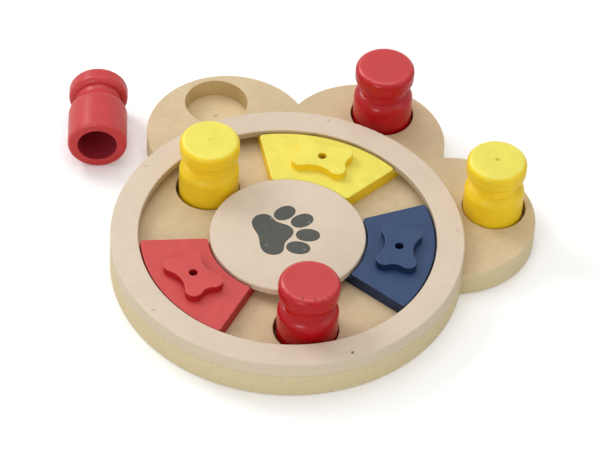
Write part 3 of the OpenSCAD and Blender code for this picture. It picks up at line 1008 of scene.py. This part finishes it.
class TOY_OT_print_paw(bpy.types.Operator):
    """Print the paw on the disc"""
    bl_idname = "toy.print_paw"
    bl_label = "Print paw"

    def execute(self, context):
        shape = context.scene.print_shape
        marks = [self.pad()]
        places = ((shape.inner_along, shape.inner_aside, shape.inner_lean),
                  (shape.outer_along, shape.outer_aside, shape.outer_lean))
        for side in (-1, 1):
            for along, aside, lean in places:
                marks.append(self.toe(shape, along, side * aside, side * lean))
        paw = joined(marks, "paw_print")
        self.thicken(paw, shape)
        place = Matrix.Translation((shape.place_x, shape.place_y, RIM_TOP))
        paw.data.transform(place @ Matrix.Rotation(shape.turn, 4, "Z"))
        set_finish(paw, printing_ink(context.scene.toy_colours.ink))
        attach(paw, "board")
        return {"FINISHED"}

    def toe(self, shape, along, aside, lean):
        """One oval toe, a little fuller than an ellipse."""
        fullness, steps = 0.94, 48
        outline = []
        for i in range(steps):
            turn = TAU * i / steps
            x, y = (math.copysign(abs(c) ** fullness, c) for c in (math.cos(turn), math.sin(turn)))
            at = Vector((x * shape.toe_long / 2, y * shape.toe_wide / 2))
            outline.append(Matrix.Rotation(lean, 2) @ at + Vector((along, aside)))
        piece = traced("toe_mark", [(x, y, 0) for x, y in outline], closed=True)
        set_mode("OBJECT")
        return piece

    def pad(self):
        """The pad, a smooth closed curve through points on its outline."""
        half = [(12.2, 0), (10.1, 4.9), (6.5, 7.8), (3.4, 10.6), (1.8, 14.2), (0.4, 17.2), (-2, 19.1),
                (-5.2, 19.6), (-9.2, 18.5), (-12.3, 15.4), (-13.4, 11.4), (-13.2, 7), (-12.5, 3), (-12.2, 0)]
        points = half + [(x, -y) for x, y in half[-2:0:-1]]
        curve = added(bpy.ops.curve.primitive_bezier_circle_add, radius=10 * MM)
        spline = curve.data.splines[0]
        spline.bezier_points.add(len(points) - len(spline.bezier_points))
        for knot, (x, y) in zip(spline.bezier_points, points):
            knot.co = (x * MM, y * MM, 0)
            knot.handle_left_type = knot.handle_right_type = "AUTO"
        curve.data.resolution_u = 5
        bpy.ops.object.convert(target="MESH")
        pad = bpy.context.object
        set_mode("EDIT")
        bpy.ops.mesh.select_all(action="SELECT")
        bpy.ops.mesh.remove_doubles(threshold=0.01 * MM)
        bpy.ops.mesh.edge_face_add()
        set_mode("OBJECT")
        return pad

    def thicken(self, paw, shape):
        """Insets each mark, notes its rim for the ink and raises it by the ink's thickness."""
        choose(paw)
        set_mode("EDIT")
        face_outwards()
        bpy.ops.mesh.extrude_region_move(TRANSFORM_OT_translate={"value": (0, 0, shape.thick)})
        bpy.ops.mesh.inset(thickness=INK_EASE)
        bpy.ops.mesh.inset(thickness=shape.rim)
        inner = {v.index for v in bmesh.from_edit_mesh(paw.data).verts if v.select}
        face_outwards()
        set_mode("OBJECT")
        write_numbers(paw, WEAR, lambda v: float(v.index not in inner))


class TOY_OT_set_stage(bpy.types.Operator):
    """Set the floor, the lamps and the camera"""
    bl_idname = "toy.set_stage"
    bl_label = "Set stage"

    def execute(self, context):
        stage = context.scene.stage_setting
        self.lay_floor(stage)
        self.light(context.scene, stage)
        self.place_camera(context.scene, stage)
        context.scene.view_settings.view_transform = "Standard"
        return {"FINISHED"}

    def lay_floor(self, stage):
        """A wide white floor, which shows white where no shadow falls."""
        floor = added(bpy.ops.mesh.primitive_plane_add, size=FLOOR_SIZE, location=(0, 0, -FLOOR_DROP))
        floor.name = "floor"
        material, tree = new_finish("White floor", 0.8, specular=0.1)
        seen = add(tree, "ShaderNodeLightPath", output="Is Camera Ray")
        feed(tree, "Base Color", blended(tree, seen, (0.8, 0.8, 0.8, 1), WHITE))
        radius = from_axis(tree, place_on(tree))
        lift = between(tree, radius, FLOOR_LIT_TO, FLOOR_FAR, stage.lift, stage.far_lift)
        tree.nodes["Principled BSDF"].inputs["Emission Color"].default_value = WHITE
        feed(tree, "Emission Strength", maths(tree, "MULTIPLY", seen, lift))
        set_finish(floor, material)

    def light(self, scene, stage):
        """A white world, which shows white where it is seen, and the soft lamps."""
        world = bpy.data.worlds.new("Studio")
        scene.world = world
        world.use_nodes = True
        tree = world.node_tree
        rays = tree.nodes.new("ShaderNodeLightPath")
        seen = 0.0
        for kind in ("Camera", "Glossy", "Transmission"):
            seen = maths(tree, "MAXIMUM", seen, rays.outputs[f"Is {kind} Ray"])
        strength = between(tree, seen, 0, 1, stage.sky, 1.0)
        tree.nodes["Background"].inputs["Color"].default_value = WHITE
        tree.links.new(strength, tree.nodes["Background"].inputs["Strength"])
        for name, (size, place) in LAMPS.items():
            self.lamp(f"{name}_lamp", getattr(stage, name), size, place)

    def lamp(self, name, power, size, place):
        """A square soft lamp that points at the toy."""
        lamp = added(bpy.ops.object.light_add, type="AREA", location=place)
        lamp.name = name
        lamp.data.energy = power
        lamp.data.size = size
        lamp.rotation_euler = (-Vector(place)).to_track_quat("-Z", "Y").to_euler()

    def place_camera(self, scene, stage):
        """A long lens, turned a little about its own axis."""
        turn, flat = stage.azimuth, math.cos(stage.elevation)
        back = Vector((math.sin(turn) * flat, -math.cos(turn) * flat, math.sin(stage.elevation)))
        target = Vector((stage.target_x, stage.target_y, 0))
        camera = added(bpy.ops.object.camera_add, location=target + back * stage.distance)
        camera.name = "studio_camera"
        camera.data.lens = stage.lens
        camera.data.sensor_width = SENSOR_WIDTH
        camera.data.clip_end = CLIP_END
        camera.rotation_mode = "QUATERNION"
        aim = (-back).to_track_quat("-Z", "Y")
        camera.rotation_quaternion = aim @ Matrix.Rotation(stage.roll, 3, "Z").to_quaternion()
        scene.camera = camera


class TOY_PT_workshop(bpy.types.Panel):
    """Lists the toy's operators and sizes"""
    bl_label = "Treat Puzzle"
    bl_idname = "TOY_PT_workshop"
    bl_space_type = "VIEW_3D"
    bl_region_type = "UI"
    bl_category = "Treat Puzzle"

    def draw(self, context):
        for operator in OPERATORS:
            self.layout.operator(operator.bl_idname)
        for name, group in SETTINGS.items():
            box = self.layout.box()
            box.label(text=group.__doc__)
            for field in group.__annotations__:
                box.prop(getattr(context.scene, name), field)


OPERATORS = (TOY_OT_finish_boards, TOY_OT_set_brads, TOY_OT_turn_pegs, TOY_OT_saw_sliders,
             TOY_OT_saw_bones, TOY_OT_print_paw, TOY_OT_set_stage)
CLASSES = (*SETTINGS.values(), *OPERATORS, TOY_PT_workshop)


def register():
    for item in CLASSES:
        bpy.utils.register_class(item)
    for name, group in SETTINGS.items():
        setattr(bpy.types.Scene, name, PointerProperty(type=group))


def unregister():
    for name in SETTINGS:
        delattr(bpy.types.Scene, name)
    for item in reversed(CLASSES):
        bpy.utils.unregister_class(item)


def main():
    """Registers the classes, and builds the toy and its stage."""
    register()
    bpy.ops.toy.finish_boards()
    bpy.ops.toy.set_brads()
    bpy.ops.toy.turn_pegs()
    bpy.ops.toy.saw_sliders()
    bpy.ops.toy.saw_bones()
    bpy.ops.toy.print_paw()
    bpy.ops.toy.set_stage()


if __name__ == "__main__":
    main()
